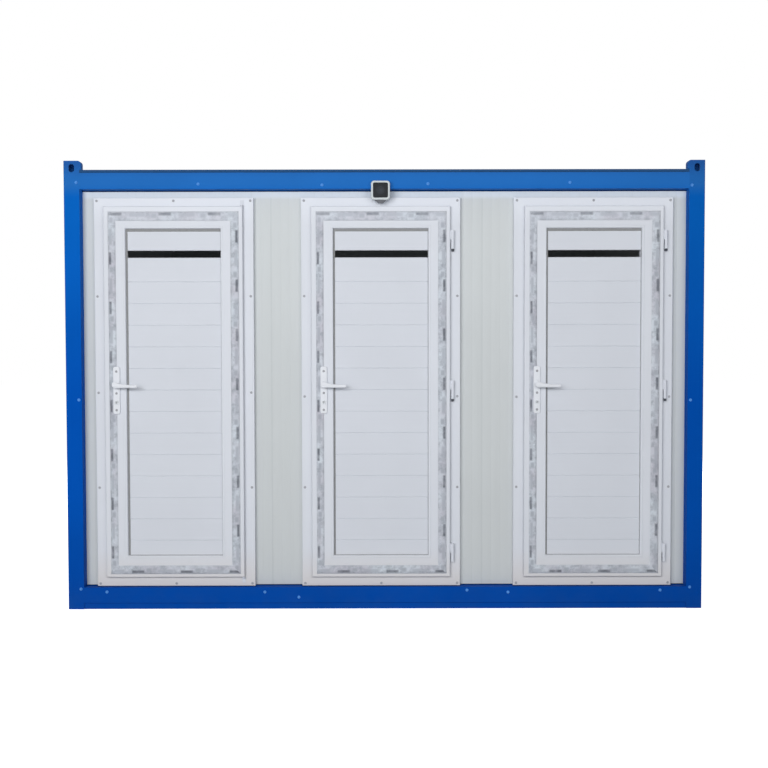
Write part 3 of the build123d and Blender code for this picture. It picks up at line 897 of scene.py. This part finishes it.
class CABIN_OT_wall_bands(bpy.types.Operator):
    """Lay the shallow upright bands of the wall skins"""

    bl_idname = "cabin.wall_bands"
    bl_label = "Wall bands"

    def execute(self, context):
        sizes = context.scene.cabin_sizes
        flange_w, head_lap = 0.070, 0.004
        holes = []
        for door in DOORS:
            low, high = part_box(door + "_door_frame")
            holes.append((low.x + flange_w, high.x - flange_w, high.z - head_lap))
        joints = [sizes.first_joint + i * sizes.panel_w for i in range(2)]
        low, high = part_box("front_wall_ends")
        self.lay("front", low.x, high.x, joints, low.z, high.z, holes, Matrix.Translation((0.0, low.y, 0.0)))
        low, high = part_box("back_wall")
        turn = Matrix.Translation((0.0, high.y, 0.0)) @ Matrix.Rotation(math.pi, 4, "Z")
        places = [-joint for joint in reversed(joints)]
        self.lay("back", low.x, high.x, places, low.z, high.z, (), turn)
        half = sizes.panel_w / 2
        for side, quarter in (("left", -math.pi / 2), ("right", math.pi / 2)):
            low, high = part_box(side + "_wall")
            face = low.x if side == "left" else high.x
            turn = Matrix.Translation((face, 0.0, 0.0)) @ Matrix.Rotation(quarter, 4, "Z")
            self.lay(side, low.y, high.y, (-half, half), low.z, high.z, (), turn)
        return {"FINISHED"}

    def lay(self, side, left, right, joints, low, high, holes, turn):
        """Bands and joint seals of one wall, turned to its face."""
        sizes = bpy.context.scene.cabin_sizes
        source = band_source(sizes.band_pitch, sizes.band_gap, sizes.band_rise)
        points = band_points(left, right, joints, low, high, holes, sizes)
        bands = spread(side + "_wall_bands", source, points, "wall_coating")
        source = band_source(sizes.panel_gap, sizes.panel_gap / 4, sizes.band_rise / 2)
        points = [((joint, 0.0, low), (1.0, 1.0, high - low)) for joint in joints]
        shade_strips = spread(side + "_wall_joints", source, points, "joint_seal")
        for piece in (bands, shade_strips):
            piece.data.transform(turn)
            settle(piece, "cabin", "wall_skin")


class CABIN_OT_trims(bpy.types.Operator):
    """Run the dark strip along the roof's edge, and the dark strips of painted shade round the walls"""

    bl_idname = "cabin.trims"
    # The strips are a dark strip along the roof's edge and dark strips of painted shade round the walls
    bl_label = "Sealing strips"

    def execute(self, context):
        head_tall, foot_tall, sill_tall = 0.0064, 0.0048, 0.0036
        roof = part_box("roof_front_rail")[1].z
        wall_low, wall_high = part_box("front_wall_ends")
        face = wall_low.y - CAD_SIDE_Y
        # Dark strips of painted shade under the roof rails, along the walls' foot and under the door frames
        head = self.shade_strip_section(face, wall_high.z, -1.0, head_tall)
        foot = self.shade_strip_section(face, wall_low.z, 1.0, foot_tall)
        places = cabin_sides()
        front = places[0][0]
        edges = [run_rows(self.edge_section(roof), -clear, clear, place) for place, clear in places]
        shade_strips = [run_rows(head, -clear, clear, place) for place, clear in places]
        ends = [wall_low.x]
        for door in DOORS:
            low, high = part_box(door + "_door_frame")
            ends += [low.x, high.x]
            sill = self.shade_strip_section(low.y - CAD_SIDE_Y, low.z, 1.0, sill_tall)
            shade_strips.append(run_rows(sill, low.x, high.x, front))
        ends.append(wall_high.x)
        shade_strips += [run_rows(foot, left, right, front) for left, right in zip(ends[0::2], ends[1::2])]
        shade_strips += [run_rows(foot, -clear, clear, place) for place, clear in places[1:]]
        strips = (("roof_edge_strips", edges, "roof_edge"), ("wall_seals", shade_strips, "wall_seal"))
        for name, runs, look in strips:
            settle(add_piece(name, lofted(name, *runs), look), "cabin", "blue_steel")
        return {"FINISHED"}

    def edge_section(self, roof):
        """Strip in the folded step at the top of a roof rail."""
        return (
            (0.0010, roof - 0.0136), (0.0008, roof - 0.0022), (0.0016, roof - 0.0010),
            (0.0044, roof - 0.0008), (0.0044, roof - 0.0120),
        )

    def shade_strip_section(self, face, level, way, tall):
        """Half round dark strip in the corner between a wall and the frame, painted shade."""
        proud, sunk, bite = 0.0055, 0.0010, 0.0002
        return (
            (face + sunk, level - way * bite),
            (face - proud, level - way * bite),
            (face - proud * 1.05, level + way * tall * 0.45),
            (face - proud * 0.75, level + way * tall * 0.85),
            (face + sunk, level + way * tall),
        )


class CABIN_OT_frame_screws(bpy.types.Operator):
    """Set the painted hex screws on the front of the steel frame"""

    bl_idname = "cabin.frame_screws"
    bl_label = "Frame screws"

    def execute(self, context):
        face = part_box("roof_front_rail")[0].y
        points = sized([(x, face, z) for x, z in FRAME_SCREWS])
        piece = spread("frame_screws", hex_head(), points, "frame_screw", TURN_FRONT, math.pi)
        settle(piece, "cabin", "blue_steel")
        return {"FINISHED"}


class CABIN_OT_flange_screws(bpy.types.Operator):
    """Set the small screws round each door frame"""

    bl_idname = "cabin.flange_screws"
    bl_label = "Door frame screws"

    def execute(self, context):
        inset = context.scene.cabin_sizes.screw_in
        places = []
        for door in DOORS:
            low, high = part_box(door + "_door_frame")
            left, right = low.x + inset, high.x - inset
            bottom, top = low.z + inset, high.z - inset
            middle = (left + right) / 2
            levels = (LOW_SCREW_Z, MIDDLE_SCREW_Z[door], HIGH_SCREW_Z)
            places += [(x, low.y, z) for x in (left, middle, right) for z in (bottom, top)]
            places += [(x, low.y, z) for x in (left, right) for z in levels]
        points = sized(places, wide=1.6)
        piece = spread("door_frame_screws", pan_head(), points, "small_screw", TURN_FRONT, math.pi)
        settle(piece, "cabin", "white_plastic")
        return {"FINISHED"}


class CABIN_OT_door_boards(bpy.types.Operator):
    """Stack the grooved boards of each door leaf"""

    bl_idname = "cabin.door_boards"
    bl_label = "Door boards"

    def execute(self, context):
        sizes = context.scene.cabin_sizes
        pitch = sizes.board_pitch
        for door in DOORS:
            node = door + "_door_boards"
            low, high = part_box(node)
            levels = sorted({round(v.co.z, 5) for v in frame["nodes"][node].data.vertices})
            vent_low, vent_high = levels[1], levels[2]
            edges = [vent_low, vent_low - sizes.board_top]
            while edges[-1] - pitch > low.z:
                edges.append(edges[-1] - pitch)
            edges.append(low.z)
            spans = list(zip(edges[1:], edges)) + [(vent_high, high.z)]
            middle = ((low.x + high.x) / 2, (low.y + high.y) / 2)
            points = [((*middle, (a + b) / 2), (1.0, 1.0, (b - a) / pitch)) for a, b in spans]
            source = board_source(high.x - low.x, high.y - low.y, pitch, sizes.board_groove)
            piece = spread(door + "_boards", source, points, "board_plastic")
            settle(piece, door + "_door", "white_plastic", node)
        return {"FINISHED"}


class CABIN_OT_door_gaskets(bpy.types.Operator):
    """Run the rounded bead and the dark gasket round the boards of each leaf; the gasket is widened at the
    top and left as painted shadow of the bead
    """

    bl_idname = "cabin.door_gaskets"
    bl_label = "Beads and gaskets"

    def execute(self, context):
        widths = context.scene.cabin_sizes.gasket_and_shadow_w
        bite = 0.012
        bead = (
            (-0.0148, 0.0006), (-0.0138, -0.0006), (-0.0100, -0.0012), (-0.0056, -0.0010), (-0.0026, 0.0006),
            (-0.0010, 0.0040), (-0.0003, 0.0100), (0.0, 0.0176), (-0.0020, 0.0178),
        )
        # A thin gasket, widened at the top and left as painted shadow
        gasket_shadow = ((-0.05, 0.0004), (-0.05, -0.0040), (0.55, -0.0036), (0.92, -0.0022), (1.0, 0.0004))
        for door in DOORS:
            low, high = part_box(door + "_door_boards")
            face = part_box(door + "_door_sash")[0].y
            loops = [framed(low, high, face + y, [bite + inset] * 4) for inset, y in bead]
            mesh = lofted("door_bead", loops, ring=True, crease=0.9)
            settle(add_piece(door + "_door_bead", mesh, "door_plastic"), door + "_door", "white_plastic")
            loops = [framed(low, high, low.y + y, [bite + share * w for w in widths]) for share, y in gasket_shadow]
            mesh = lofted("board_gasket", loops, ring=True)
            settle(add_piece(door + "_door_gasket", mesh, "board_gasket"), door + "_door", "white_plastic")
        return {"FINISHED"}


class CABIN_OT_door_film(bpy.types.Operator):
    """Lay the protective film round each door leaf"""

    bl_idname = "cabin.door_film"
    bl_label = "Protective film"

    def execute(self, context):
        sizes = context.scene.cabin_sizes
        for door in DOORS:
            low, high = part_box(door + "_door_sash")
            piece = add_piece(door + "_door_film", film_mesh(low, high, low.y, sizes), "door_film")
            thick = piece.modifiers.new("Thickness", "SOLIDIFY")
            thick.thickness = sizes.film_t
            thick.offset = -1.0
            settle(piece, door + "_door", "white_plastic")
        return {"FINISHED"}


class CABIN_OT_handles(bpy.types.Operator):
    """Make the levers, the eased plates, the lock cylinders and their screws"""

    bl_idname = "cabin.handles"
    bl_label = "Lever handles"

    def execute(self, context):
        for door in DOORS:
            self.dress(door, context.scene.cabin_sizes.plate_ease)
        return {"FINISHED"}

    def dress(self, door, ease):
        """Plates, lock, levers and screws of one door, outside and inside."""
        lock_rise, lock_down, lock_r, lock_ease, rim_drop = 0.006, 0.098, 0.0118, 0.0034, 0.0008
        plug_r, plug_ease, flat = 0.0086, 0.0006, 0.0001
        key_w, key_h, key_rise = 0.0013, 0.0052, 0.0002
        top_screw, middle_screw, foot_screw = 0.027, 0.046, 0.022
        plate_r, lever_half_t, spindle = 0.012, 0.007, 0.004
        low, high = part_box(door + "_handle_plates")
        sash_low, sash_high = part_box(door + "_door_sash")
        lever_low, lever_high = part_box(door + "_lever")
        axis = joint_place(door + "_lever_turn")
        lock = (axis.x, axis.z - lock_down)
        centre = ((low.x + high.x) / 2, (low.z + high.z) / 2)
        half_w, half_h = (high.x - low.x) / 2, (high.z - low.z) / 2
        out_y, in_y = low.y + lock_rise, high.y
        reach = out_y - lever_low.y - lever_half_t
        grip = grip_rows(lever_high.x - axis.x, lever_half_t)
        plates, plugs, slots, levers = [], [], [], []
        for back, face, way in ((sash_low.y, out_y, -1.0), (sash_high.y, in_y, 1.0)):
            end = face + way * lock_rise
            rim = end - way * rim_drop
            plates.append(eased_rows(centre, half_w, half_h, plate_r, back, face, ease))
            plates.append(eased_rows(lock, lock_r, lock_r, lock_r - flat, back, rim, lock_ease))
            plugs.append(eased_rows(lock, plug_r, plug_r, plug_r - flat, face, end, plug_ease))
            slots.append(eased_rows(lock, key_w, key_h, key_w - flat, face, end + way * key_rise, key_rise))
            levers.append(moved(grip, axis.x, face + way * reach, axis.z, -way))
            levers.append(moved(neck_rows(reach), axis.x, face, axis.z, -way))
        square = [(axis.x + x, axis.z + z) for x, z in (
            (-spindle, -spindle), (spindle, -spindle), (spindle, spindle), (-spindle, spindle)
        )]
        levers.append([[(x, y, z) for x, z in square] for y in (out_y, in_y)])
        leaf = door + "_door"
        piece = add_piece(door + "_plates", lofted("handle_plates", *plates), "powder_coat")
        settle(piece, leaf, "white_metal", door + "_handle_plates")
        settle(add_piece(door + "_lock", lofted("lock_cylinder", *plugs), "lock_zinc"), leaf, "white_metal")
        settle(add_piece(door + "_keyway", lofted("keyway", *slots), "dark_rubber"), leaf, "lamp_black")
        piece = add_piece(door + "_grips", lofted("lever_grips", *levers, crease=0.9), "powder_coat")
        settle(piece, door + "_lever", "white_metal", door + "_lever")
        levels = (high.z - top_screw, axis.z - middle_screw, low.z + foot_screw)
        for side, face, turn in (("outer", out_y, TURN_FRONT), ("inner", in_y, TURN_INSIDE)):
            name = f"{door}_{side}_plate_screws"
            points = sized([(centre[0], face, z) for z in levels], wide=1.5)
            settle(spread(name, pan_head(), points, "plate_screw", turn, math.pi), leaf, "white_metal")


class CABIN_OT_hinge_caps(bpy.types.Operator):
    """Put the dark caps under the upper two hinges of a door"""

    bl_idname = "cabin.hinge_caps"
    bl_label = "Hinge caps"

    def execute(self, context):
        places = []
        for door in DOORS[1:]:
            axis = joint_place(door + "_door_hinge")
            for low, high in clusters(door + "_hinge_posts")[1:]:
                places.append((axis.x, axis.y, low.z))
        piece = spread("hinge_caps", cap_source(), sized(places), "dark_rubber", TURN_DOWN)
        settle(piece, "cabin", "lamp_black")
        return {"FINISHED"}


class CABIN_OT_lamp(bpy.types.Operator):
    """Make the lamp's rounded shell"""

    bl_idname = "cabin.lamp"
    bl_label = "Lamp shell"

    def execute(self, context):
        sizes = context.scene.cabin_sizes
        gap, lip, lip_deep = 0.0002, 0.0012, 0.0008
        low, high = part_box("lamp_housing")
        lens_low, lens_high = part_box("lamp_lens")
        centre = ((low.x + high.x) / 2, (low.z + high.z) / 2)
        half = (high.x - low.x) / 2
        rim = (lens_high.x - lens_low.x) / 2 + gap
        corner = sizes.lamp_corner / 2
        rows = eased_rows(centre, half, half, sizes.lamp_corner, high.y, low.y, sizes.lamp_ease, 6)
        rows.append(rounded_row(centre, rim + lip, rim + lip, corner + lip, low.y))
        rows.append(rounded_row(centre, rim, rim, corner, low.y + lip_deep))
        rows.append(rounded_row(centre, rim, rim, corner, lens_high.y))
        shell = add_piece("lamp_shell", lofted("lamp_shell", rows), "lamp_shell")
        settle(shell, "cabin", "lamp_grey", "lamp_housing")
        return {"FINISHED"}


class CABIN_OT_stage(bpy.types.Operator):
    """Set up the floor, the light and the camera"""

    bl_idname = "cabin.stage"
    bl_label = "Stage"

    def execute(self, context):
        scene = context.scene
        stage = scene.cabin_stage
        scene.view_settings.view_transform = "Standard"
        self.floor(stage)
        self.world(scene, stage)
        front = Vector((0.0, CAD_LOW.y, 1.25))
        eaves = Vector((0.0, CAD_LOW.y, 2.35))
        heart = Vector((0.0, 0.0, 1.25))
        far = 9.0
        level = math.cos(stage.key_rise) * far
        beside, ahead = -math.sin(stage.key_turn) * level, -math.cos(stage.key_turn) * level
        away = (beside, ahead, math.sin(stage.key_rise) * far)
        self.light("key", stage.key_power, (stage.key_size, stage.key_size), front, away)
        self.light("fill", stage.fill_power, (7.0, 1.0), eaves, (0.0, -4.3, 0.0))
        self.light("rear_left", stage.rear_power, (4.0, 2.5), heart, (-5.6, 4.2, 1.3))
        self.light("rear_right", stage.rear_power, (4.0, 2.5), heart, (5.6, 4.2, 1.3))
        self.light("room", stage.room_power, (3.0, 1.5), heart, (0.0, 0.0, -0.9))
        self.camera(scene, stage)
        return {"FINISHED"}

    def light(self, name, watts, size, aim, away):
        """A soft rectangular light that faces the aim."""
        data = bpy.data.lights.new(name, "AREA")
        data.shape = "RECTANGLE"
        data.energy = watts
        data.size, data.size_y = size
        lamp = bpy.data.objects.new(name, data)
        lamp.location = aim + Vector(away)
        lamp.rotation_euler = (-Vector(away)).to_track_quat("-Z", "Y").to_euler()
        lamp.visible_glossy = False
        lamp.visible_camera = False
        bpy.context.scene.collection.objects.link(lamp)

    def floor(self, stage):
        """Pale floor that shows white to the camera and keeps the shadow."""
        bm = bmesh.new()
        bmesh.ops.create_grid(bm, x_segments=8, y_segments=8, size=40.0)
        plane = add_piece("floor", mesh_of(bm, "floor"))
        coat = Coat("stage_floor")
        coat.tree.nodes.remove(coat.shader)
        fleck = coat.mix(coat.grain(3.0, 3.0), (0.90, 0.90, 0.90), (0.94, 0.94, 0.94))
        pale = coat.node("ShaderNodeBsdfDiffuse", {"Color": fleck})
        lift = coat.node("ShaderNodeEmission", {"Color": (1.0, 1.0, 1.0, 1.0), "Strength": stage.lift})
        bright = coat.node("ShaderNodeAddShader", {0: pale.outputs[0], 1: lift.outputs[0]})
        dull = coat.node("ShaderNodeBsdfDiffuse", {"Color": (0.50, 0.51, 0.52, 1.0)})
        show_white(coat.tree, dull, bright, "Material Output")
        plane.data.materials.append(coat.material)

    def world(self, scene, stage):
        """White behind the cabin, and a soft sky for its light."""
        scene.world = bpy.data.worlds.new("studio")
        scene.world.use_nodes = True
        tree = scene.world.node_tree
        sky = tree.nodes["Background"]
        fill_inputs(tree, sky, {"Color": (0.96, 0.985, 1.0, 1.0), "Strength": stage.sky})
        white = add_node(tree, "ShaderNodeBackground", {"Color": (1.0, 1.0, 1.0, 1.0), "Strength": 1.0})
        show_white(tree, sky, white, "World Output")

    def camera(self, scene, stage):
        """Camera fitted to the photograph's view."""
        pitch, yaw, roll = stage.pitch, stage.yaw, stage.roll
        ahead = Vector((math.sin(yaw) * math.cos(pitch), math.cos(yaw) * math.cos(pitch), -math.sin(pitch)))
        level = Vector((math.cos(yaw), -math.sin(yaw), 0.0))
        above = level.cross(ahead)
        right = math.cos(roll) * level + math.sin(roll) * above
        up = math.cos(roll) * above - math.sin(roll) * level
        data = bpy.data.cameras.new("camera")
        data.lens = stage.lens
        data.sensor_width = 36.0
        camera = bpy.data.objects.new("camera", data)
        turn = Matrix((right, up, -ahead)).transposed().to_4x4()
        camera.matrix_world = Matrix.Translation(stage.eye) @ turn
        scene.collection.objects.link(camera)
        scene.camera = camera


STEPS = (
    CABIN_OT_paint, CABIN_OT_wall_bands, CABIN_OT_trims, CABIN_OT_frame_screws, CABIN_OT_flange_screws,
    CABIN_OT_door_boards, CABIN_OT_door_gaskets, CABIN_OT_door_film, CABIN_OT_handles, CABIN_OT_hinge_caps,
    CABIN_OT_lamp, CABIN_OT_stage,
)


class CABIN_PT_tools(bpy.types.Panel):
    """Lists the steps that dress the cabin"""

    bl_idname = "CABIN_PT_tools"
    bl_label = "Cabin"
    bl_space_type = "VIEW_3D"
    bl_region_type = "UI"
    bl_category = "Cabin"

    def draw(self, context):
        for group in (context.scene.cabin_paints, context.scene.cabin_sizes, context.scene.cabin_stage):
            box = self.layout.box()
            for name in group.__annotations__:
                box.prop(group, name)
        for step in STEPS:
            self.layout.operator(step.bl_idname)


GROUPS = (("cabin_paints", CabinPaints), ("cabin_sizes", CabinSizes), ("cabin_stage", CabinStage))


def register():
    for name, group in GROUPS:
        bpy.utils.register_class(group)
        setattr(bpy.types.Scene, name, PointerProperty(type=group))
    for step in (*STEPS, CABIN_PT_tools):
        bpy.utils.register_class(step)


def unregister():
    for step in (CABIN_PT_tools, *reversed(STEPS)):
        bpy.utils.unregister_class(step)
    for name, group in reversed(GROUPS):
        delattr(bpy.types.Scene, name)
        bpy.utils.unregister_class(group)


def main():
    """Dresses the cabin step by step."""
    register()
    bpy.ops.cabin.paint()
    bpy.ops.cabin.wall_bands()
    bpy.ops.cabin.trims()
    bpy.ops.cabin.frame_screws()
    bpy.ops.cabin.flange_screws()
    bpy.ops.cabin.door_boards()
    bpy.ops.cabin.door_gaskets()
    bpy.ops.cabin.door_film()
    bpy.ops.cabin.handles()
    bpy.ops.cabin.hinge_caps()
    bpy.ops.cabin.lamp()
    bpy.ops.cabin.stage()


if __name__ == "__main__":
    main()
